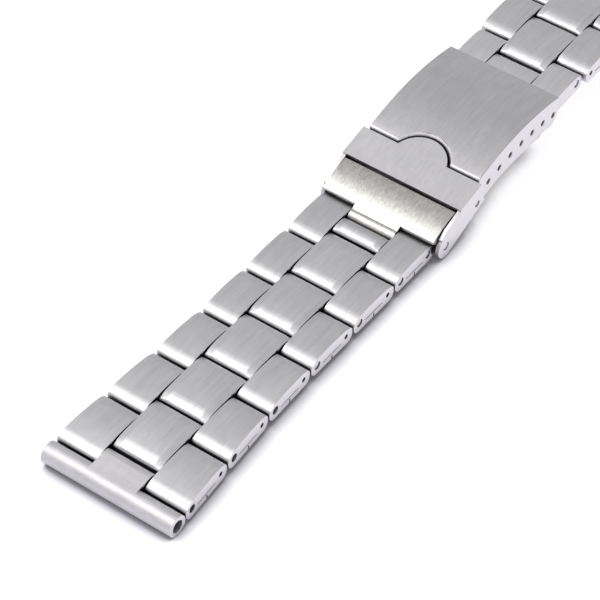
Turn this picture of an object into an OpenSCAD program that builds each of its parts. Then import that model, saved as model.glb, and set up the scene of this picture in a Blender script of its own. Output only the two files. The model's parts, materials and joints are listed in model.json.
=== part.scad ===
// Steel watch bracelet with a fold-over clasp, lying closed on a table.
// X runs across the strap, Y along it from the near lug end to the far one, Z up.
// The origin is on the table, under the middle of the strap's length and width.

/* [Strap] */
// Width of the strap at the watch lugs
lug_w = 22; // [20:0.5:24]
// Width of the strap at the clasp
strap_w = 18.8; // [17:0.2:20]
// Width of a centre link
centre_w = 7.9; // [6.5:0.1:9]
// Distance from one hinge pin to the next
pitch = 10; // [9.5:0.25:12]
// Thickness of a link, which is also the diameter of its rolled ends
link_t = 2.9; // [2.6:0.1:3]
// Rows over which the strap narrows from the lugs
taper_rows = 2.5; // [2:0.25:4]
// Height by which a centre link's crown stands above the outer links
crown_h = 0.3; // [0:0.05:0.4]
// Width of the bevel beside the crown
bevel_w = 1; // [0.4:0.1:1.6]
// Thickness of the sheet that the links are folded from
link_sheet = 0.6; // [0.4:0.05:0.75]
// Gap between link ends that face each other
end_gap = 0.35; // [0.3:0.05:0.5]
// Radius of the shoulder at each end of a link's top
shoulder_r = 4; // [2.5:0.5:6]
// Radius of the corner below the shoulder
corner_r = 0.8; // [0.5:0.05:1]
// Gap between links that lie side by side
side_gap = 0.15; // [0.1:0.01:0.25]

/* [Pins] */
// Diameter of the hinge pins
pin_d = 1.2; // [0.9:0.05:1.3]
// Radial play of a pin in its bore
pin_play = 0.05; // [0.03:0.01:0.08]
// Depth of a pin's end below the side it comes out at
pin_recess = 0.15; // [0.1:0.05:0.5]
// Diameter of the small eye in an outer link's side, at its empty rolled end
eye_d = 0.8; // [0.5:0.1:1.2]
// Diameter of the spring bar's body
bar_d = 1.5; // [1.3:0.1:1.6]
// Diameter of the spring bar's tips and of the cover's hinge pin
tip_d = 0.8; // [0.6:0.05:0.9]

/* [End pieces] */
// Outer diameter of the tube that meets the watch case
tube_d = 3.3; // [3:0.1:3.6]
// Bore of that tube, for the watch's own spring bar
tube_bore = 2; // [1.5:0.1:2.2]
// Gap between the tube and the links that turn beside it
tube_gap = 0.2; // [0.2:0.05:0.5]

/* [Clasp cover] */
// Length of the cover along the strap
cover_len = 21.2; // [20.6:0.2:24]
// Radius that the cover's top is arched to
cover_r = 42; // [40:1:60]
// Thickness of the cover's top
cover_top = 0.8; // [0.6:0.05:0.9]
// Thickness of the cover's side walls
cover_wall = 0.6; // [0.5:0.05:0.8]
// Height of the cover's side, from its top to the bottom edge of the wall
cover_h = 4.9; // [4.6:0.1:5.2]
// Distance that the cover's side stands out past the strap
cover_margin = 0.3; // [0.2:0.05:0.6]
// Width of the nail notch in the cover's near lip
notch_w = 9; // [7:0.5:12]
// Depth of the nail notch
notch_depth = 2.95; // [2:0.05:3.5]
// Distance along the arch from one side hole to the next
hole_step = 2.885; // [2.6:0.005:2.9]
// Depth of the side holes below the cover's top
hole_depth = 2.9; // [2.7:0.1:3.1]

/* [Blades] */
// Thickness of the blades
blade_t = 0.9; // [0.7:0.05:1]
// Radius that the lower blade is arched to
blade_r = 75; // [65:1:90]
// Gap between the closed blades
blade_gap = 0.15; // [0.1:0.01:0.2]
// Outer diameter of the blades' rolled hinge ends
barrel_d = 2.3; // [2.1:0.05:2.4]
// Length of the upper blade's knuckle at the fold
fold_knuckle = 9.6; // [6:0.2:12]

/* [Safety lock] */
// Thickness of the lock's arms
arm_t = 0.6; // [0.5:0.05:0.9]
// Thickness of the lock's crossbar
crossbar_t = 0.6; // [0.5:0.05:0.65]
// Radius of the arms' round ends
arm_r = 1.95; // [1.6:0.05:2.1]
// Gap between the lock's arms and the cover's sides
arm_gap = 0.12; // [0.1:0.01:0.3]
// Gap between the crossbar and the notch and lip that it lies in
lip_gap = 0.35; // [0.25:0.05:0.6]
// Diameter of the dimple pressed into each arm
dimple_d = 1.1; // [0.8:0.1:1.4]

/* [Hidden] */
$fn = 64;
over = 1;
units = 6;
numbers = [for (k = [1:units]) k];

// Links
nose_r = link_t / 2;
link_len = pitch - end_gap;
outer_run = link_len - link_t;
inner_x = centre_w / 2 + side_gap;
bore_r = pin_d / 2 + pin_play;
cavity_wall = bore_r + link_sheet;
cavity_half_h = nose_r - link_sheet;
bridge_play = 0.1;
bridge_reach = 1.2;
bridge_set = 0.65;
seam = 0.15;
seam_drop = 0.45;
butt_seam = 0.25;
lug_step = (lug_w - strap_w) / taper_rows / 2;
tube_r = tube_d / 2;
tube_reach = nose_r + tube_r + tube_gap;
skin = 0.5;
shoulder_start = 5;
shoulder_end = 27;
bottom_r = 1.2;

// Pose of the strap at rest: the slope of the end piece and of units 1 to 6, in degrees
near_lean = [8, 2.5, 0.5, 0, 0, 0, 0];
far_lean = [-2, -5, -8, -8, -5, -2, 1];
connector_lean = 3;

// The clasp's own frame has its origin on the pin that holds the near strap
cover_half_w = strap_w / 2 + cover_margin;
channel_half_w = cover_half_w - cover_wall;
channel_play = 0.15;
blade_half_w = channel_half_w - channel_play;
lip_y = 12.15;
cover_peak = [24.1, 7.15];
cover_o = [cover_peak[0], cover_peak[1] - cover_r];
hole_r = cover_r - hole_depth;
tip_play = 0.04;
first_hole_y = 14.8;
adjust_holes = 6;
first_angle = asin((first_hole_y - cover_o[0]) / hole_r);
hole_angle = hole_step / hole_r * 180 / PI;
blade_peak = [23.1, 0.65];
blade_o = [blade_peak[0], blade_peak[1] - blade_r];
upper_r = blade_r + blade_t + blade_gap;
fold_y = 29.5;
fold_mid_r = blade_r + blade_t + blade_gap / 2;
fold_at = [fold_y, blade_o[1] + sqrt(pow(fold_mid_r, 2) - pow(fold_y - blade_o[0], 2))];
barrel_r = barrel_d / 2;
knuckle_gap = 0.15;
fold_clear = barrel_r + knuckle_gap;
web_h = barrel_r + 0.35;
fork_half_w = notch_w / 2 + lip_gap;
fork_end_y = first_hole_y + barrel_r + lip_gap;

// End block, which is the near end of the lower blade
block_wall = 0.9;
plate_near = [0.75, 1.9];
plate_far = [6.25, 3.6];
plate_r = 14;
plate_chord = plate_far - plate_near;
plate_half = norm(plate_chord) / 2;
plate_normal = [plate_chord[1], -plate_chord[0]] / norm(plate_chord);
plate_o = (plate_near + plate_far) / 2 + plate_normal * sqrt(pow(plate_r, 2) - pow(plate_half, 2));
strap_clear = nose_r + 0.25;
cheek_y = strap_clear + 0.1;
floor_z = -1.25;
floor_y = 4.6;
lock_pin_at = [3.1, -0.25];

// Safety lock
crossbar_gap = 0.3;
crossbar_near = [plate_far[0] + crossbar_gap, 4.15];
crossbar_slope = 12.4;
crossbar_end_y = lip_y - lip_gap;
arm_in = cover_half_w + arm_gap;
arm_out = arm_in + arm_t;
dimple_at = [10.9, 2.1];
dimple_depth = arm_t / 3;
notch_r = (pow(notch_w / 2, 2) + pow(notch_depth, 2)) / 2 / notch_depth;
notch_y = lip_y + notch_depth - notch_r;

function slope_dir(a) = [cos(a), sin(a)];
function on_cover(angle) = cover_o + hole_r * [sin(angle), cos(angle)];
function near_pin(k) = k > units ? [0, 0]
  : near_pin(k + 1) - (k == units ? outer_run : pitch) * slope_dir(near_lean[k]);
function far_pin(k) = k > units ? bar_at + outer_tail * slope_dir(connector_lean)
  : far_pin(k + 1) + pitch * slope_dir(far_lean[k]);
function lug_half_w(k) = max(strap_w / 2, lug_w / 2 - k * lug_step);

cover_pin_at = on_cover(first_angle);
bar_at = on_cover(first_angle + adjust_holes * hole_angle);
outer_tail = pitch - nose_r - end_gap - 0.65;
near_tube = near_pin(1) - tube_reach * slope_dir(near_lean[0]);
far_tube = far_pin(1) + tube_reach * slope_dir(far_lean[0]);
rise = tube_r - near_tube[1];
middle = (near_tube[0] + far_tube[0]) / 2;

echo(near_pins = [for (k = [1:units + 1]) near_pin(k) + [-middle, rise]]);
echo(far_pins = [for (k = [1:units + 1]) far_pin(k) + [-middle, rise]]);
echo(tubes = [near_tube + [-middle, rise], far_tube + [-middle, rise]]);
echo(clasp = [for (p = [cover_pin_at, bar_at, fold_at, lock_pin_at]) p + [-middle, rise]]);
echo(widths = [cover_half_w, arm_out, blade_half_w, middle, rise]);

// Puts children that are drawn about a pin at p, given in the clasp's frame, sloped by a
module at(p, a = 0) {
  translate([0, p[0] - middle, p[1] + rise]) rotate([a, 0, 0]) children();
}

// Extrudes a side view, drawn with Y to the right and Z up, from x0 to x1
module across(x0, x1) {
  translate([x0, 0, 0]) rotate([90, 0, 90]) linear_extrude(x1 - x0) children();
}

module both_sides() {
  children();
  mirror([1, 0, 0]) children();
}

module dot(p, r) {
  translate(p) circle(r);
}

module rod(half, r, p = [0, 0]) {
  across(-half, half) dot(p, r);
}

// Points along an arc about c, from angle a0 to a1, measured from straight up towards +Y
function arc(c, r, a0, a1, n) = [
  for (i = [0:n]) let (a = a0 + (a1 - a0) * i / n) c + r * [sin(a), cos(a)]
];

function mirrored(points) = [
  for (i = [len(points) - 1:-1:0]) [-points[i][0], points[i][1]]
];

// Half of a link's side view, from the middle of its top to the middle of its underside: a
// crown, then a shoulder, a corner, an upright end face and the lower corner
function half_side(half, top) =
  let (
    corner_y = half - corner_r,
    longest_r = (corner_y + corner_r * sin(shoulder_end)) / (sin(shoulder_end) - sin(shoulder_start)),
    side_r = min(shoulder_r, 0.9 * longest_r),
    shoulder_y = corner_y + (corner_r - side_r) * sin(shoulder_end),
    flat_r = (shoulder_y + side_r * sin(shoulder_start)) / sin(shoulder_start),
    shoulder_z = top - flat_r + (flat_r - side_r) * cos(shoulder_start),
    corner_z = shoulder_z + (side_r - corner_r) * cos(shoulder_end)
  )
  concat(
    arc([0, top - flat_r], flat_r, 0, shoulder_start, 4),
    arc([shoulder_y, shoulder_z], side_r, shoulder_start + 4, shoulder_end - 4, 3),
    arc([corner_y, corner_z], corner_r, shoulder_end, 90, 7),
    arc([half - bottom_r, bottom_r - nose_r], bottom_r, 90, 180, 6)
  );

// Side view of a link whose rolled ends are about y0 and y1, its top raised by extra
module link_side(y0, y1, extra = 0) {
  points = half_side((y1 - y0) / 2 + nose_r, nose_r + extra);
  translate([(y0 + y1) / 2, 0]) polygon(concat(points, mirrored(points)));
}

// One outer link, to the right of the centre, with its pin at the origin. It is folded
// from sheet: rolled at both ends, hollow between, open to the centre, closed outside.
module outer_link(near_half_w, far_half_w, eye = eye_d / 2) {
  run = outer_run;
  cavity = [cavity_wall, run - cavity_wall];
  difference() {
    intersection() {
      across(inner_x, near_half_w + over) link_side(0, run);
      outer_plan(near_half_w, far_half_w, run);
    }
    across(0, near_half_w + over) dot([0, 0], bore_r);
    across(0, far_half_w - skin) dot([run, 0], bore_r);
    across(0, near_half_w + over) dot([run, 0], eye);
    intersection() {
      across(0, near_half_w) translate([cavity[0], -cavity_half_h])
        square([cavity[1] - cavity[0], 2 * cavity_half_h]);
      outer_plan(near_half_w - skin, far_half_w - skin, run, over);
    }
    across(far_half_w - 2 * skin, near_half_w + over)
      translate([cavity[0], -seam_drop - seam / 2]) square([cavity[1] - cavity[0], seam]);
    across(0, near_half_w + over) translate([run / 2 - butt_seam / 2, -nose_r - over])
      square([butt_seam, over + link_sheet + 0.05]);
  }
}

// Plan of an outer link, whose outer side slants where the strap narrows
module outer_plan(near_half_w, far_half_w, run, inward = 0) {
  translate([0, 0, -2 * link_t]) linear_extrude(4 * link_t) polygon([
    [inner_x - inward, -nose_r],
    [near_half_w, -nose_r],
    [far_half_w, run + nose_r],
    [inner_x - inward, run + nose_r]
  ]);
}

// One centre link, whose bored end lies between the next unit's outer links at y = reach.
// The bridge at its middle reaches into the two outer links of its own unit.
module centre_link(reach) {
  start = nose_r + end_gap;
  bridge_y = start + bridge_set;
  bridge_len = outer_run - 2 * bridge_y;
  bridge_h = cavity_half_h - bridge_play;
  difference() {
    union() {
      intersection() {
        across(-centre_w / 2, centre_w / 2) link_side(start + nose_r, reach, crown_h);
        crown_front(start, reach);
      }
      across(-inner_x - bridge_reach, inner_x + bridge_reach)
        translate([bridge_y, -bridge_h]) square([bridge_len, 2 * bridge_h]);
    }
    if (reach == pitch) rod(centre_w, bore_r, [reach, 0]);
    across(-centre_w, centre_w) translate([(start + reach) / 2, -nose_r - over])
      square([butt_seam, over + link_sheet]);
  }
}

// Front view of a centre link: a flat crown between two bevels
module crown_front(start, reach) {
  half = centre_w / 2;
  side_z = nose_r - 0.05;
  translate([0, reach + link_t, 0]) rotate([90, 0, 0]) linear_extrude(reach - start + 2 * link_t)
    polygon([
      [-half, -link_t],
      [half, -link_t],
      [half, side_z],
      [half - bevel_w, nose_r + crown_h],
      [bevel_w - half, nose_r + crown_h],
      [-half, side_z]
    ]);
}

// Tube for the watch's spring bar, with the tongue that the first links hinge on
module end_piece() {
  difference() {
    union() {
      rod(lug_w / 2, tube_r, [-tube_reach, 0]);
      across(-centre_w / 2, centre_w / 2) {
        dot([0, 0], nose_r);
        polygon([
          [-tube_reach, tube_r],
          [0, nose_r],
          [0, -nose_r],
          [-tube_reach / 2, -nose_r * 0.75],
          [-tube_reach, -tube_r]
        ]);
      }
    }
    rod(lug_w, tube_bore / 2, [-tube_reach, 0]);
    rod(centre_w, bore_r);
  }
}

// A hinge pin, a little shorter than the strap is wide at its own place
module hinge_pin(half_w) {
  rod(half_w - pin_recess, pin_d / 2);
}

module near_end_piece() {
  color("silver") at(near_pin(1), near_lean[0]) end_piece();
}

module far_end_piece() {
  color("silver") at(far_pin(1), far_lean[0]) mirror([0, 1, 0]) end_piece();
}

module near_unit(k) {
  at(near_pin(k), near_lean[k]) children();
}

module far_unit(k) {
  at(far_pin(k), far_lean[k]) mirror([0, 1, 0]) children();
}

module near_outer(k) {
  near_unit(k) outer_link(lug_half_w(k - 1), lug_half_w(k), k == units ? bore_r : eye_d / 2);
}

module far_outer(k) {
  far_unit(k) outer_link(lug_half_w(k - 1), lug_half_w(k));
}

module near_outer_left(k) { color("lightgray") mirror([1, 0, 0]) near_outer(k); }
module near_outer_right(k) { color("lightgray") near_outer(k); }
module far_outer_left(k) { color("lightgray") mirror([1, 0, 0]) far_outer(k); }
module far_outer_right(k) { color("lightgray") far_outer(k); }

// The last near centre link is short and has no pin, to leave room for the end block's knuckle
module near_centre(k) {
  color("gainsboro") near_unit(k)
    centre_link(k == units ? outer_run - 2 * nose_r - end_gap : pitch);
}

module far_centre(k) { color("gainsboro") far_unit(k) centre_link(pitch); }
module near_pin_rod(k) { color("dimgray") near_unit(k) hinge_pin(lug_half_w(k)); }
module far_pin_rod(k) { color("dimgray") far_unit(k) hinge_pin(lug_half_w(k)); }

// Full-width link that turns on the spring bar inside the cover. A bridge inside it joins
// its two arms to its centre, and the far centre link's bored end fits between the arms.
module connector() {
  half = blade_half_w;
  centre_end = outer_tail - nose_r - end_gap;
  bridge_y = bar_d / 2 + 0.5;
  bridge_h = nose_r / 2;
  color("lightgray") at(bar_at, connector_lean) difference() {
    union() {
      both_sides() across(inner_x, half) link_side(0, outer_tail);
      across(-centre_w / 2, centre_w / 2) link_side(0, centre_end - nose_r);
      across(-inner_x - over, inner_x + over) translate([bridge_y, -bridge_h])
        square([centre_end - nose_r / 2 - bridge_y, 2 * bridge_h]);
    }
    rod(half + over, bar_d / 2 + pin_play);
    rod(half + over, bore_r, [outer_tail, 0]);
  }
}

module connector_pin() {
  color("dimgray") at(far_pin(units + 1), connector_lean) hinge_pin(blade_half_w);
}

module spring_bar() {
  color("gray") at(bar_at) {
    rod(blade_half_w, bar_d / 2);
    rod(cover_half_w - 0.1, tip_d / 2);
  }
}

module cover_pin() {
  color("gray") at(cover_pin_at) rod(cover_half_w - 0.1, tip_d / 2);
}

// Side view of a band that follows an arch about o, between two radii
module arch_band(o, r_in, r_out, y0, y1) {
  intersection() {
    difference() {
      dot(o, r_out);
      dot(o, r_in);
    }
    translate([y0, o[1]]) square([y1 - y0, 2 * r_out]);
  }
}

// Arched cover: a top with a nail notch in its near lip, and two walls with holes
module cover() {
  end_y = lip_y + cover_len;
  chamfer = [2.1, 2.2];
  wall_low = cover_o[1] + sqrt(pow(cover_r - cover_h, 2) - pow(end_y - cover_o[0], 2));
  color("silver") at([0, 0]) difference() {
    union() {
      across(-cover_half_w, cover_half_w)
        arch_band(cover_o, cover_r - cover_top, cover_r, lip_y, end_y);
      both_sides() across(channel_half_w, cover_half_w) difference() {
        arch_band(cover_o, cover_r - cover_h, cover_r, lip_y, end_y);
        polygon([
          [end_y - chamfer[0], wall_low - over],
          [end_y - chamfer[0], wall_low + 0.1],
          [end_y - chamfer[0] / 3, wall_low + chamfer[1] / 2],
          [end_y, wall_low + chamfer[1]],
          [end_y + over, wall_low + chamfer[1]],
          [end_y + over, wall_low - over]
        ]);
      }
    }
    translate([0, notch_y, 0]) cylinder(h = 4 * cover_peak[1], r = notch_r);
    for (n = [0:adjust_holes])
      rod(cover_half_w + over, tip_d / 2 + tip_play, on_cover(first_angle + n * hole_angle));
  }
}

// Upper blade: hinged to the cover at its near end, to the lower blade at the fold. Its near
// end is a fork, so that it can rise past the lock's tongue.
module upper_blade() {
  side = blade_half_w;
  color("lightgray") at([0, 0]) difference() {
    union() {
      across(-side, side) {
        arch_band(blade_o, upper_r, upper_r + blade_t, first_hole_y, fold_y);
        dot(cover_pin_at, barrel_r);
        translate(cover_pin_at - [barrel_r, web_h]) square([barrel_d, web_h]);
      }
      across(-fold_knuckle / 2, fold_knuckle / 2) dot(fold_at, barrel_r);
    }
    rod(side + over, tip_d / 2 + pin_play, cover_pin_at);
    rod(side + over, bore_r, fold_at);
    both_sides() across(fold_knuckle / 2, side + over) dot(fold_at, fold_clear);
    across(-fork_half_w, fork_half_w) translate([fork_end_y - 4 * barrel_r, 0])
      square([4 * barrel_r, cover_peak[1]]);
  }
}

module fold_pin() {
  color("dimgray") at(fold_at) rod(blade_half_w - pin_recess, pin_d / 2);
}

// Lower blade, with the end block that carries the near strap and the safety lock
module lower_blade() {
  side = blade_half_w;
  knuckle = fold_knuckle / 2 + knuckle_gap;
  color("lightgray") at([0, 0]) difference() {
    union() {
      across(-side, side) arch_band(blade_o, blade_r, blade_r + blade_t, floor_y, fold_y);
      both_sides() across(knuckle, side) dot(fold_at, barrel_r);
      end_block();
    }
    rod(side + over, bore_r, fold_at);
    across(-knuckle, knuckle) dot(fold_at, fold_clear);
    rod(cover_half_w, bore_r);
    rod(cover_half_w + over, bore_r, lock_pin_at);
    both_sides() across(centre_w / 2, cover_half_w + over) dot([0, 0], strap_clear);
  }
}

// End block: a curved plate on two cheeks, with the knuckle that the last links hinge on
module end_block() {
  floor_end = plate_far[0] + over;
  across(-cover_half_w, cover_half_w) plate_side(plate_r - block_wall);
  across(-blade_half_w, blade_half_w) translate([floor_y, floor_z])
    square([floor_end - floor_y, block_wall]);
  both_sides() across(cover_half_w - block_wall, cover_half_w) intersection() {
    plate_side(0);
    translate([cheek_y, floor_z]) square([plate_far[0] - cheek_y, 2 * plate_far[1]]);
  }
  across(-centre_w / 2, centre_w / 2) {
    dot([0, 0], nose_r);
    intersection() {
      plate_side(0);
      translate([0, -nose_r]) square([floor_y, 2 * plate_far[1]]);
    }
  }
}

// Side view of the plate's arc, down to the radius r_in
module plate_side(r_in) {
  intersection() {
    difference() {
      dot(plate_o, plate_r);
      if (r_in > 0) dot(plate_o, r_in);
    }
    translate([plate_near[0] - (r_in > 0 ? 0 : plate_near[0]), -2 * nose_r])
      square([plate_far[0] - (r_in > 0 ? plate_near[0] : 0), 2 * plate_r]);
  }
}

// The pin of the near strap and the pin of the safety lock, both held in the end block
module clasp_end_pins() {
  color("dimgray") {
    at([0, 0]) rod(strap_w / 2 - pin_recess, pin_d / 2);
    at(lock_pin_at) rod(arm_out - 0.1, pin_d / 2);
  }
}

// U-shaped safety lock: two arms on the lock pin, and a crossbar with a nail tongue
module safety_lock() {
  color("silver") at([0, 0]) difference() {
    union() {
      both_sides() across(arm_in, arm_out) arm_side();
      intersection() {
        across(-arm_out, arm_out) crossbar_side();
        crossbar_plan();
      }
    }
    rod(arm_out + over, bore_r, lock_pin_at);
    both_sides() across(arm_out - dimple_depth, arm_out + over) dot(dimple_at, dimple_d / 2);
  }
}

module crossbar_side() {
  reach = notch_y + notch_r - crossbar_near[0];
  translate(crossbar_near) rotate(crossbar_slope) translate([0, -crossbar_t])
    square([reach / cos(crossbar_slope), crossbar_t]);
}

module crossbar_plan() {
  linear_extrude(4 * cover_peak[1]) {
    translate([-arm_out, 0]) square([2 * arm_out, crossbar_end_y]);
    translate([0, notch_y]) circle(notch_r - lip_gap);
  }
}

module arm_side() {
  tangent = crossbar_slope + 9;
  low = lock_pin_at + (arm_r - 0.04) * [sin(tangent), -cos(tangent)];
  far_low_y = lip_y + 0.65;
  sunk = 0.05;
  top_z = crossbar_near[1] + (crossbar_end_y - crossbar_near[0]) * tan(crossbar_slope);
  dot(lock_pin_at, arm_r);
  polygon([
    low,
    [far_low_y, low[1] + (far_low_y - low[0]) * tan(tangent)],
    [crossbar_end_y - sunk, top_z - 2 * sunk],
    crossbar_near + [2 * sunk, -2 * sunk],
    [crossbar_near[0] - 0.1, plate_far[1] + 0.1],
    [plate_near[0] + 2.55, 2.7],
    lock_pin_at + [-1.2, arm_r],
    lock_pin_at + [-arm_r / 2, 0]
  ]);
}

near_end_piece();
far_end_piece();
for (k = numbers) {
  near_outer_left(k);
  near_outer_right(k);
  near_centre(k);
  near_pin_rod(k);
  far_outer_left(k);
  far_outer_right(k);
  far_centre(k);
  far_pin_rod(k);
}
connector();
connector_pin();
spring_bar();
cover();
cover_pin();
upper_blade();
fold_pin();
lower_blade();
clasp_end_pins();
safety_lock();
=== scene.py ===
import json
import math

import bmesh
import bpy
from mathutils import Matrix, Vector


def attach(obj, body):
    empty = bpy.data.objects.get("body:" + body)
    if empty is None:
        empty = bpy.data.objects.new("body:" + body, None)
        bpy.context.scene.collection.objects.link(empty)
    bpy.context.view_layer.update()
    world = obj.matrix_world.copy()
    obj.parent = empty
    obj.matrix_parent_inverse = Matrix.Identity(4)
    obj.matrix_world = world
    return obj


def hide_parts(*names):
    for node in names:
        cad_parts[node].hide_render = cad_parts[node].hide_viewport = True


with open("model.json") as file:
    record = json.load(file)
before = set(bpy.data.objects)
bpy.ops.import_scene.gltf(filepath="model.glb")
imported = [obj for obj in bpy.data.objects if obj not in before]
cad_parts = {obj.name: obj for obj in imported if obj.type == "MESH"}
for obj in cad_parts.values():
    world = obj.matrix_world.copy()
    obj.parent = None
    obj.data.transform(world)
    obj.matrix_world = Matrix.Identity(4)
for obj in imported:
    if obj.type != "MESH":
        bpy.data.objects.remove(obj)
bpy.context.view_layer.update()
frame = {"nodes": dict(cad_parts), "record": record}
NODES = frame["nodes"]
MM = 0.001

# The photograph's camera: place and directions in the model's frame
CAMERA_AT = Vector((166.2, -264.5, 293.5)) * MM
CAMERA_RIGHT = Vector((0.8051, 0.5932, -0.0008))
CAMERA_UP = Vector((-0.427, 0.5805, 0.6933))
CAMERA_LENS_MM = 172.4
CAMERA_SENSOR_MM = 36
# Nearest and farthest point that it sees, in metres
CAMERA_CLIP = (0.01, 20)


def new_object(name, data):
    made = bpy.data.objects.new(name, data)
    bpy.context.scene.collection.objects.link(made)
    return made


def mesh_of(work, name):
    """A bmesh as a mesh. The bmesh is freed."""
    mesh = bpy.data.meshes.new(name)
    work.to_mesh(mesh)
    work.free()
    return mesh


def add_camera():
    data = bpy.data.cameras.new("camera")
    data.sensor_width = CAMERA_SENSOR_MM
    data.lens = CAMERA_LENS_MM
    data.clip_start, data.clip_end = CAMERA_CLIP
    right = CAMERA_RIGHT.normalized()
    back = right.cross(CAMERA_UP).normalized()
    up = back.cross(right)
    turn = Matrix((right, up, back)).transposed().to_4x4()
    camera = new_object("camera", data)
    camera.matrix_world = Matrix.Translation(CAMERA_AT) @ turn
    bpy.context.scene.camera = camera


class Nodes:
    """Short calls for building a node tree."""

    def __init__(self, tree):
        self.tree = tree

    def new(self, kind, **values):
        """A node, with the values of its sockets and its own settings."""
        node = self.tree.nodes.new(kind)
        for name, value in values.items():
            if name in node.inputs:
                node.inputs[name].default_value = value
            else:
                setattr(node, name, value)
        return node

    def link(self, source, target):
        self.tree.links.new(source, target)


def new_material(name):
    material = bpy.data.materials.new(name)
    material.use_nodes = True
    material.node_tree.nodes.clear()
    return material, Nodes(material.node_tree)


def add_output(n, surface, kind="Material"):
    out = n.new(f"ShaderNodeOutput{kind}")
    n.link(surface, out.inputs["Surface"])


def calculated(n, operation, *values):
    node = n.new("ShaderNodeMath", operation=operation)
    for value, socket in zip(values, node.inputs):
        n.link(value, socket)
    return node.outputs[0]


def multiplied(n, first, second):
    """One colour times the other."""
    node = n.new("ShaderNodeMixRGB", blend_type="MULTIPLY", Fac=1.0)
    n.link(first, node.inputs["Color1"])
    n.link(second, node.inputs["Color2"])
    return node.outputs["Color"]


def mixed(n, amount, first, second):
    """From the first value or colour, which is linked, to the second, which is written."""
    node = n.new("ShaderNodeMix", data_type="RGBA" if isinstance(second, tuple) else "FLOAT")
    sockets = [i for i in node.inputs if i.enabled]
    n.link(amount, sockets[0])
    n.link(first, sockets[1])
    sockets[2].default_value = second
    return next(o for o in node.outputs if o.enabled)


def map_range(n, value, source, target):
    node = n.new("ShaderNodeMapRange")
    names = ("From Min", "From Max", "To Min", "To Max")
    for name, number in zip(names, (*source, *target)):
        node.inputs[name].default_value = number
    n.link(value, node.inputs["Value"])
    return node.outputs["Result"]


def mapped_noise(n, coords, scale, detail, offset=(0, 0, 0)):
    """Noise with one feature per 1 / scale metres along each axis."""
    mapping = n.new("ShaderNodeMapping", Scale=scale, Location=offset)
    noise = n.new("ShaderNodeTexNoise", Scale=1.0, Detail=detail, Roughness=0.6)
    n.link(coords, mapping.inputs["Vector"])
    n.link(mapping.outputs["Vector"], noise.inputs["Vector"])
    return noise.outputs["Fac"]


def ramp(n, value, stops):
    node = n.new("ShaderNodeValToRGB")
    elements = node.color_ramp.elements
    while len(elements) < len(stops):
        elements.new(0.5)
    for element, (place, colour) in zip(elements, stops):
        element.position = place
        element.color = colour
    n.link(value, node.inputs["Fac"])
    return node.outputs["Color"]


def grey(shade, tint=(1, 1, 1)):
    return (shade * tint[0], shade * tint[1], shade * tint[2], 1)


def occlusion(n, reach, samples):
    """1 in the open, and less where something lies within that reach, in metres."""
    node = n.new("ShaderNodeAmbientOcclusion", samples=samples, Distance=reach)
    return node.outputs["AO"]


# Painted shade in crevices: how far it reaches, in metres, the occlusion between which it fades
# out, and the colour at the bottom
CREVICE_REACH = 0.0021
CREVICE_FADE = (0.22, 0.58)
CREVICE_SHADE = 0.03

# The polished sides of the strap and the clasp: how squarely a face looks across the strap
# before it starts to count as one and where it is one, and their finish. The low roughness is
# the real polish; the lighter, lilac colour is a painted reflection of the pale floor.
SIDE_FACING = (0.8, 0.95)
SIDE_SHEEN_SHADE = 0.7
SIDE_SHEEN_TINT = (1.0, 0.965, 1.01)
SIDE_ROUGH = 0.22

# Brushed tops: how many coarse scratches there are to a fine one, the range of their sum that
# the colour follows, that of the fine ones that the roughness follows, and the relief's depth
# in metres
COARSE_SHARE = 0.3
SCRATCH_RANGE = (0.7, 1.3)
FINE_RANGE = (0.3, 0.7)
RELIEF_DEPTH = 0.00008
# Faint patches per metre, and how much darker they are
PATCH_SCALE = (160, 160, 160)
PATCH_SHADE = 0.06

# The pins that end deep in a hole, coloured near black as painted shade for the hole
PAINTED_HOLE_SHADES = (0.035, 0.07)
DEEP_ROUGH = 0.6
DEEP_PINS = ("cover_pin", "spring_bar")

# Scratches per metre on each axis: long along the strap, shorter, and round a pin or tube
ALONG = (6500, 260, 6500)
SHORT = (9000, 2400, 9000)
ROUND = (900, 2600, 2600)
# How dark and how bright the scratches are beside the steel's shade
FAINT = (0.92, 1.07)
STRONG = (0.78, 1.22)

COOL = (0.985, 0.985, 1.02)
LILAC = (1.0, 0.985, 1.02)
WARM = (1.0, 0.985, 0.955)

# For each slot its shade and tint, its scratches, its least and greatest roughness, and the
# strength of its relief
STEELS = {
    "outer_link": (0.57, COOL, ALONG, FAINT, (0.4, 0.52), 0.1),
    "centre_link": (0.58, COOL, ALONG, FAINT, (0.4, 0.52), 0.1),
    "end_piece": (0.6, LILAC, ROUND, FAINT, (0.5, 0.62), 0.08),
    "connector": (0.62, LILAC, ALONG, FAINT, (0.4, 0.5), 0.06),
    "cover": (0.52, LILAC, ALONG, FAINT, (0.38, 0.5), 0.08),
    "blade": (0.46, WARM, SHORT, STRONG, (0.27, 0.5), 0.25),
    "lock": (0.56, LILAC, ALONG, FAINT, (0.38, 0.5), 0.08),
    "pin": (0.40, COOL, ROUND, FAINT, (0.3, 0.5), 0.05),
}


def painted_crevice_shade(n, colour):
    """Darkens a colour where two pieces lie close together: painted shade in the crevices."""
    open_share = occlusion(n, CREVICE_REACH, 8)
    return multiplied(n, colour, map_range(n, open_share, CREVICE_FADE, (CREVICE_SHADE, 1.0)))


def on_sides(n, normal):
    """1 on the polished faces that look across the strap, with a painted reflection, 0 on the
    rest.
    """
    split = n.new("ShaderNodeSeparateXYZ")
    n.link(normal, split.inputs[0])
    return map_range(n, calculated(n, "ABSOLUTE", split.outputs["X"]), SIDE_FACING, (0.0, 1.0))


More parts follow.
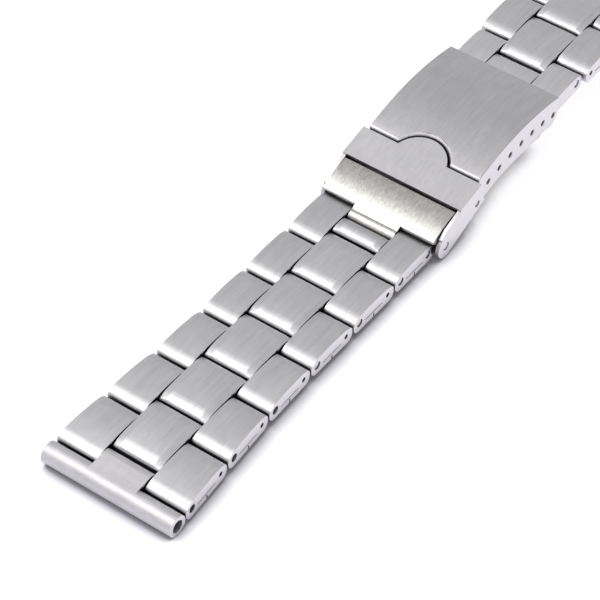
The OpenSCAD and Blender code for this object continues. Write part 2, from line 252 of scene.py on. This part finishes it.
def brushed_steel(name, shade, tint, grain, spread, rough, bump):
    """Steel with fine and coarse scratches on its tops, polished sides with a painted reflection,
    and painted shade in its crevices.
    """
    material, n = new_material(name)
    texture = n.new("ShaderNodeTexCoord")
    coords = texture.outputs["Object"]
    sides = on_sides(n, texture.outputs["Normal"])
    fine = mapped_noise(n, coords, grain, 4.0)
    coarse = mapped_noise(n, coords, tuple(g * COARSE_SHARE for g in grain), 2.0, (3.1, 7.7, 1.9))
    cloud = mapped_noise(n, coords, PATCH_SCALE, 2.0, (9.2, 0.4, 5.5))
    scratches = calculated(n, "ADD", fine, coarse)
    dark, bright = (grey(shade * share, tint) for share in spread)
    strokes = map_range(n, scratches, SCRATCH_RANGE, (0.0, 1.0))
    colour = ramp(n, strokes, [(0.0, dark), (1.0, bright)])
    patches = ramp(n, cloud, [(0.3, grey(1.0 - PATCH_SHADE)), (0.7, grey(1.0))])
    # Painted reflection: the sides take a lighter colour that stands for the pale floor they
    # reflect.
    colour = mixed(n, sides, multiplied(n, colour, patches), grey(SIDE_SHEEN_SHADE, SIDE_SHEEN_TINT))
    roughness = mixed(n, sides, map_range(n, fine, FINE_RANGE, rough), SIDE_ROUGH)
    relief = n.new("ShaderNodeBump", Strength=bump, Distance=RELIEF_DEPTH)
    n.link(scratches, relief.inputs["Height"])
    shader = n.new("ShaderNodeBsdfPrincipled", Metallic=1.0)
    # Painted shade: the base colour darkens in crevices where pieces lie close together.
    n.link(painted_crevice_shade(n, colour), shader.inputs["Base Color"])
    n.link(roughness, shader.inputs["Roughness"])
    n.link(relief.outputs["Normal"], shader.inputs["Normal"])
    add_output(n, shader.outputs["BSDF"])
    return material


def pin_in_painted_shade(name):
    """A rough pin that ends deep in a hole, coloured near black as painted shade for the hole."""
    material, n = new_material(name)
    coords = n.new("ShaderNodeTexCoord").outputs["Object"]
    cloud = mapped_noise(n, coords, ROUND, 3.0)
    low, high = (grey(shade) for shade in PAINTED_HOLE_SHADES)
    shader = n.new("ShaderNodeBsdfPrincipled", Metallic=1.0, Roughness=DEEP_ROUGH)
    n.link(ramp(n, cloud, [(0.3, low), (0.7, high)]), shader.inputs["Base Color"])
    add_output(n, shader.outputs["BSDF"])
    return material


def make_materials():
    materials = {name: brushed_steel(name, *finish) for name, finish in STEELS.items()}
    materials["painted_shade_pin"] = pin_in_painted_shade("painted_shade_pin")
    return materials


# Rows of links in each half of the strap
ROWS = 6
# Distance between an outer link's two pins, and the gap between neighbouring links' ends, in
# millimetres as all measures of the links are
OUTER_RUN = 6.75
END_GAP = 0.35
# A row whose pins lie closer than this is the short one beside the clasp
SHORT_RUN = OUTER_RUN + 1
# Side view of a centre link: half its height at the rolled ends, its crown, and the arcs of
# its top, shoulder, corner and lower corner, with the number of steps in each. The points of
# the shoulder keep SHOULDER_TRIM_DEG off both ends of its arc.
NOSE_R = 1.45
CROWN_H = 0.3
SHOULDER_DEG = (5, 27)
SHOULDER_TRIM_DEG = 4
SHOULDER_R = 4.0
CORNER_R = 0.8
BOTTOM_R = 1.2
ARC_STEPS = (4, 3, 9, 6)
# On a short link the shoulder's radius is at most this share of the largest that fits
SHOULDER_SHARE = 0.9
# The bevel along each side of a centre link: its width and how far it falls
CENTRE_HALF_W = 3.95
BEVEL_W = 1.15
BEVEL_DROP = 0.3
# The cutter runs on by CUT_PAST beyond the bevel on both sides and reaches CUT_OUT outward.
# It stays CUT_CLEAR off the faces that it leaves as they are.
CUT_PAST = 0.2
CUT_OUT = 1.2
CUT_CLEAR = 0.02
# Vertices closer than this are one
WELD_MM = 0.002


def arc(centre, radius, start, end, steps):
    """Points of an arc, with its angles in degrees from straight up."""
    angles = [math.radians(start + (end - start) * i / steps) for i in range(steps + 1)]
    return [(centre[0] + radius * math.sin(a), centre[1] + radius * math.cos(a)) for a in angles]


def half_side(half):
    """A centre link's outline from the middle of its top to the middle of its underside."""
    start, end = (math.radians(d) for d in SHOULDER_DEG)
    top = NOSE_R + CROWN_H
    corner_y = half - CORNER_R
    longest = (corner_y + CORNER_R * math.sin(end)) / (math.sin(end) - math.sin(start))
    side_r = min(SHOULDER_R, SHOULDER_SHARE * longest)
    shoulder_y = corner_y + (CORNER_R - side_r) * math.sin(end)
    flat_r = (shoulder_y + side_r * math.sin(start)) / math.sin(start)
    shoulder_z = top - flat_r + (flat_r - side_r) * math.cos(start)
    corner_z = shoulder_z + (side_r - CORNER_R) * math.cos(end)
    first, last = SHOULDER_DEG
    shoulder = (first + SHOULDER_TRIM_DEG, last - SHOULDER_TRIM_DEG)
    return (
        arc((0, top - flat_r), flat_r, 0, first, ARC_STEPS[0])
        + arc((shoulder_y, shoulder_z), side_r, *shoulder, ARC_STEPS[1])
        + arc((corner_y, corner_z), CORNER_R, last, 90, ARC_STEPS[2])
        + arc((half - BOTTOM_R, BOTTOM_R - NOSE_R), BOTTOM_R, 90, 180, ARC_STEPS[3])
    )


def outline(half):
    points = half_side(half)
    return points + [(-y, z) for y, z in reversed(points[1:])]


def moved(points, outward, down):
    """The closed outline moved outward, and its upward faces moved down."""
    result = []
    for i, (y, z) in enumerate(points):
        before, after = points[i - 1], points[(i + 1) % len(points)]
        along = Vector((after[0] - before[0], after[1] - before[1])).normalized()
        facing_up = max(0.0, along[0])
        result.append((y - along[1] * outward, z + along[0] * outward - down * facing_up))
    return result


def join_rings(work, ring, following):
    """A band of four-sided faces between two closed rings of as many vertices."""
    for i in range(len(ring)):
        j = (i + 1) % len(ring)
        work.faces.new((ring[i], ring[j], following[j], following[i]))


def bevel_cutter(half, side):
    """A ring round one side of a centre link, in the link's own millimetres."""
    profile = outline(half)
    slope = BEVEL_DROP / BEVEL_W
    near_x = side * (CENTRE_HALF_W - BEVEL_W - CUT_PAST)
    far_x = side * (CENTRE_HALF_W + CUT_PAST)
    loops = [
        (near_x, moved(profile, CUT_CLEAR, -slope * CUT_PAST)),
        (far_x, moved(profile, CUT_CLEAR, slope * (BEVEL_W + CUT_PAST))),
        (far_x, moved(profile, CUT_OUT, 0)),
        (near_x, moved(profile, CUT_OUT, 0)),
    ]
    work = bmesh.new()
    rings = [[work.verts.new((x, y, z)) for y, z in points] for x, points in loops]
    for ring, following in zip(rings, rings[1:] + rings[:1]):
        join_rings(work, ring, following)
    bmesh.ops.recalc_face_normals(work, faces=work.faces)
    return work


def cut_away(piece, cutters):
    """Cuts the cutters, in millimetres as the piece is, from it for good. Leaves it in metres."""
    for cutter in cutters:
        cut = piece.modifiers.new("cut", "BOOLEAN")
        cut.operation = "DIFFERENCE"
        cut.solver = "EXACT"
        cut.object = cutter
    seen = piece.evaluated_get(bpy.context.evaluated_depsgraph_get())
    mesh = bpy.data.meshes.new_from_object(seen)
    mesh.transform(Matrix.Scale(MM, 4))
    piece.modifiers.clear()
    piece.data = mesh
    for cutter in cutters:
        bpy.data.objects.remove(cutter)


def welded_copy(mesh):
    """A copy in millimetres, with its split vertices joined."""
    work = bmesh.new()
    work.from_mesh(mesh)
    work.transform(Matrix.Scale(1 / MM, 4))
    bmesh.ops.remove_doubles(work, verts=work.verts, dist=WELD_MM)
    return mesh_of(work, mesh.name)


def link_frame(pin, next_pin):
    """Places a link, with its pin at its origin, in the model, both in millimetres."""
    along = (next_pin - pin).normalized()
    up = Vector((0, -along.z, along.y)) * (1 if along.y > 0 else -1)
    across = along.cross(up)
    turn = Matrix((across, along, up)).transposed().to_4x4()
    return Matrix.Translation(pin) @ turn


def bevel_cutters(pin, next_pin):
    """The cutters of a centre link's two bevels."""
    reach = (next_pin - pin).length
    if reach < SHORT_RUN:
        reach = OUTER_RUN - 2 * NOSE_R - END_GAP
    start = NOSE_R + END_GAP
    middle = (start + reach + NOSE_R) / 2
    half = (reach + NOSE_R - start) / 2
    placed = link_frame(pin, next_pin) @ Matrix.Translation((0, middle, 0))
    cutters = []
    for side in (-1, 1):
        work = bevel_cutter(half, side)
        work.transform(placed)
        cutters.append(new_object("cutter", mesh_of(work, "cutter")))
    return cutters


def bevelled_centre(strap, row, pin, next_pin):
    """A copy of a centre link with a bevel of even width along each side of its outline."""
    node = NODES[f"{strap}_centre_{row}"]
    piece = new_object(f"{strap}_centre_link_{row}", welded_copy(node.data))
    cutters = bevel_cutters(pin, next_pin)
    bpy.context.view_layer.update()
    cut_away(piece, cutters)
    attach(piece, f"{strap}_row_{row}")
    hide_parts(node.name)
    return piece


def add_centre_links():
    joints = {j["name"]: Vector(j["pos_m"]) / MM for j in frame["record"]["behaviour"]["joints"]}
    pieces = []
    for strap in ("near", "far"):
        names = [f"{strap}_end_hinge"] + [f"{strap}_row_{k}_hinge" for k in range(1, ROWS + 1)]
        pins = [joints[name] for name in names]
        for row in range(1, ROWS + 1):
            pieces.append(bevelled_centre(strap, row, pins[row - 1], pins[row]))
    return pieces


# Side view of the cheek that runs on under the lock's crossbar, and its two faces across
# the strap, in millimetres in the model's frame
CHEEK_SIDE = [(-15.02, 1.38), (-11.66, 3.83), (-11.66, 5.93), (-15.02, 5.63)]
CHEEK_X = (8.0, 9.68)


def add_cheeks():
    pieces = []
    for side, name in ((-1, "cheek_left"), (1, "cheek_right")):
        faces = [[(side * x * MM, y * MM, z * MM) for y, z in CHEEK_SIDE] for x in CHEEK_X]
        work = bmesh.new()
        rings = [[work.verts.new(point) for point in face] for face in faces]
        for ring in rings:
            work.faces.new(ring)
        join_rings(work, *rings)
        bmesh.ops.recalc_face_normals(work, faces=work.faces)
        piece = new_object(name, mesh_of(work, name))
        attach(piece, "lower_blade")
        pieces.append(piece)
    return pieces


# Radius of the rounded edges of each kind of piece, in millimetres
EDGE_MM = {
    "outer_link": 0.12,
    "centre_link": 0.14,
    "end_piece": 0.12,
    "connector": 0.12,
    "cover": 0.22,
    "blade": 0.12,
    "lock": 0.14,
    "pin": 0.1,
}
EDGE_SEGMENTS = 3
# Edges that turn by more than EDGE_ANGLE are rounded, and faces that turn from each other by
# less than FLAT_ANGLE become one
EDGE_ANGLE = math.radians(38)
FLAT_ANGLE = math.radians(0.6)
# Edges that turn by more than this many degrees shade sharp. A centre link's crown meets its
# bevels at a low angle, which shows as a line.
SMOOTH_DEG = {"centre_link": 10}
SMOOTH_DEG_ELSE = 24

# The cover's rolled lip: its near edge and the notch's rim, told from the edges below by
# their distance along LIP_UP, in millimetres in the model's frame
LIP_R = 0.42
LIP_END_Y = -5.9
LIP_UP = (0, -0.2576, 1)
LIP_TOP = 10.1
LIP_HALF_W = 9.4


def geometry_group(name):
    """A new node group with a geometry input and output, and those two nodes' sockets."""
    tree = bpy.data.node_groups.new(name, "GeometryNodeTree")
    for way in ("INPUT", "OUTPUT"):
        tree.interface.new_socket("Geometry", in_out=way, socket_type="NodeSocketGeometry")
    n = Nodes(tree)
    start, end = n.new("NodeGroupInput"), n.new("NodeGroupOutput")
    return tree, n, start.outputs[0], end.inputs[0]


def compared(n, value, operation, threshold):
    node = n.new("FunctionNodeCompare", data_type="FLOAT", operation=operation)
    node.inputs["B"].default_value = threshold
    n.link(value, node.inputs["A"])
    return node.outputs["Result"]


def edge_angle(n):
    return n.new("GeometryNodeInputMeshEdgeAngle").outputs["Unsigned Angle"]


def smooth_by_angle(degrees):
    """A modifier's node group that smooths the faces and keeps the edges sharper than that."""
    tree, n, start, end = geometry_group(f"smooth_by_{degrees}")
    faces = n.new("GeometryNodeSetShadeSmooth", domain="FACE")
    faces.inputs["Shade Smooth"].default_value = True
    edges = n.new("GeometryNodeSetShadeSmooth", domain="EDGE")
    edges.inputs["Shade Smooth"].default_value = False
    n.link(start, faces.inputs["Geometry"])
    n.link(faces.outputs[0], edges.inputs["Geometry"])
    sharp = compared(n, edge_angle(n), "GREATER_THAN", math.radians(degrees))
    n.link(sharp, edges.inputs["Selection"])
    n.link(edges.outputs[0], end)
    return tree


def on_lip(n):
    """True for the cover's edges that lie on its lip."""
    place = n.new("GeometryNodeInputPosition").outputs[0]
    split = n.new("ShaderNodeSeparateXYZ")
    n.link(place, split.inputs[0])
    height = n.new("ShaderNodeVectorMath", operation="DOT_PRODUCT")
    height.inputs[1].default_value = LIP_UP
    n.link(place, height.inputs[0])
    side = calculated(n, "ABSOLUTE", split.outputs["X"])
    tests = [
        compared(n, split.outputs["Y"], "LESS_THAN", LIP_END_Y * MM),
        compared(n, height.outputs["Value"], "GREATER_THAN", LIP_TOP * MM),
        compared(n, side, "LESS_THAN", LIP_HALF_W * MM),
    ]
    lip = tests[0]
    for test in tests[1:]:
        both = n.new("FunctionNodeBooleanMath", operation="AND")
        n.link(lip, both.inputs[0])
        n.link(test, both.inputs[1])
        lip = both.outputs[0]
    return lip


def lip_edges():
    """A modifier's node group that gives the cover's edges their bevel weights."""
    tree, n, start, end = geometry_group("lip_edges")
    size = n.new("GeometryNodeSwitch", input_type="FLOAT")
    size.inputs["False"].default_value = EDGE_MM["cover"] / LIP_R
    size.inputs["True"].default_value = 1.0
    n.link(on_lip(n), size.inputs["Switch"])
    sharp = compared(n, edge_angle(n), "GREATER_THAN", EDGE_ANGLE)
    store = n.new("GeometryNodeStoreNamedAttribute", data_type="FLOAT", domain="EDGE")
    store.inputs["Name"].default_value = "bevel_weight_edge"
    n.link(start, store.inputs["Geometry"])
    n.link(calculated(n, "MULTIPLY", size.outputs[0], sharp), store.inputs["Value"])
    n.link(store.outputs[0], end)
    return tree


def round_edges(piece, kind, groups):
    """Joins split vertices and flat faces, rounds the edges and smooths the shading."""
    weld = piece.modifiers.new("weld", "WELD")
    weld.merge_threshold = WELD_MM * MM
    flat = piece.modifiers.new("flat", "DECIMATE")
    flat.decimate_type = "DISSOLVE"
    flat.angle_limit = FLAT_ANGLE
    if kind == "cover":
        weights = piece.modifiers.new("lip", "NODES")
        weights.node_group = lip_edges()
    bevel = piece.modifiers.new("edges", "BEVEL")
    bevel.width = (LIP_R if kind == "cover" else EDGE_MM[kind]) * MM
    bevel.segments = EDGE_SEGMENTS
    bevel.limit_method = "WEIGHT" if kind == "cover" else "ANGLE"
    bevel.angle_limit = EDGE_ANGLE
    bevel.use_clamp_overlap = kind != "cover"
    shading = piece.modifiers.new("smooth", "NODES")
    shading.node_group = groups[SMOOTH_DEG.get(kind, SMOOTH_DEG_ELSE)]
    normals = piece.modifiers.new("normals", "WEIGHTED_NORMAL")
    normals.keep_sharp = True


def dress(materials, new_pieces):
    """Gives every CAD node and every new piece its material and its rounded edges."""
    groups = {deg: smooth_by_angle(deg) for deg in {SMOOTH_DEG_ELSE, *SMOOTH_DEG.values()}}
    slots = {p["node"]: p["material_slot"] for p in frame["record"]["subparts"]}
    kinds = [(node, slots[name]) for name, node in NODES.items()] + new_pieces
    for piece, kind in kinds:
        # Pins that end deep in a hole get painted shade in place of their steel colour.
        finish = "painted_shade_pin" if piece.name in DEEP_PINS else kind
        piece.data.materials.clear()
        piece.data.materials.append(materials[finish])
        round_edges(piece, kind, groups)


# The floor's width and how far it lies below the strap, in metres, so that they don't touch
FLOOR_SIZE = 3.0
FLOOR_DROP = 0.00002
# Its own colour, and the pale glow that only the camera and the steel's gloss see
FLOOR_COLOUR = (0.25, 0.245, 0.3, 1)
FLOOR_GLOW = 0.86
# The shadow close to the strap: its reach in metres, the occlusion between which it fades
# out, and the glow that is left in it
CONTACT_REACH = 0.0045
CONTACT_FADE = (0.45, 0.78)
CONTACT_GLOW = 0.05


def seen_directly(n):
    """1 for camera, glossy and transmission rays, 0 for the rays that light the object."""
    path = n.new("ShaderNodeLightPath")
    total = path.outputs["Is Camera Ray"]
    for name in ("Is Glossy Ray", "Is Transmission Ray"):
        total = calculated(n, "MAXIMUM", total, path.outputs[name])
    return total


def floor_material():
    material, n = new_material("floor")
    base = n.new("ShaderNodeBsdfDiffuse", Color=FLOOR_COLOUR)
    glow = n.new("ShaderNodeEmission", Color=(1, 1, 1, 1))
    open_share = occlusion(n, CONTACT_REACH, 16)
    strength = map_range(n, open_share, CONTACT_FADE, (CONTACT_GLOW, FLOOR_GLOW))
    n.link(calculated(n, "MULTIPLY", seen_directly(n), strength), glow.inputs["Strength"])
    both = n.new("ShaderNodeAddShader")
    n.link(base.outputs[0], both.inputs[0])
    n.link(glow.outputs[0], both.inputs[1])
    add_output(n, both.outputs[0])
    return material


def add_floor():
    mesh = bpy.data.meshes.new("floor")
    h = FLOOR_SIZE / 2
    mesh.from_pydata([(-h, -h, 0), (h, -h, 0), (h, h, 0), (-h, h, 0)], [], [(0, 1, 2, 3)])
    mesh.materials.append(floor_material())
    floor = new_object("floor", mesh)
    floor.location.z = -FLOOR_DROP


# The studio's grey from the horizon up to straight overhead
SKY = [
    (0.0, grey(0.95)),
    (0.35, grey(0.9)),
    (0.62, grey(0.78)),
    (0.78, grey(0.82)),
    (1.0, grey(1.0)),
]
SKY_STRENGTH = 0.85


def add_world():
    world = bpy.data.worlds.new("studio")
    world.use_nodes = True
    world.node_tree.nodes.clear()
    n = Nodes(world.node_tree)
    coords = n.new("ShaderNodeTexCoord").outputs["Generated"]
    split = n.new("ShaderNodeSeparateXYZ")
    n.link(coords, split.inputs[0])
    back = n.new("ShaderNodeBackground", Strength=SKY_STRENGTH)
    n.link(ramp(n, split.outputs["Z"], SKY), back.inputs["Color"])
    add_output(n, back.outputs[0], "World")
    bpy.context.scene.world = world


# Each lamp's name, its direction from the strap, its distance and size in metres, its power
# in watts and its colour
LAMPS = [
    ("overhead", (-0.41, -0.38, 0.83), 0.9, (0.6, 0.42), 4.0, (1.0, 0.99, 0.97)),
    ("side", (0.9, -0.5, 0.7), 1.2, (0.7, 0.7), 1.5, (0.97, 0.98, 1.0)),
]


def add_lamp(name, direction, distance, size, power, colour):
    """A soft box that faces the strap."""
    data = bpy.data.lights.new(name, "AREA")
    data.shape = "RECTANGLE"
    data.size, data.size_y = size
    data.energy = power
    data.color = colour
    lamp = new_object(name, data)
    toward = Vector(direction).normalized()
    lamp.location = toward * distance
    lamp.rotation_euler = toward.to_track_quat("Z", "Y").to_euler()


def main():
    bpy.context.scene.view_settings.view_transform = "Standard"
    add_camera()
    add_floor()
    add_world()
    for lamp in LAMPS:
        add_lamp(*lamp)
    new_pieces = [(piece, "centre_link") for piece in add_centre_links()]
    new_pieces += [(piece, "blade") for piece in add_cheeks()]
    dress(make_materials(), new_pieces)


main()
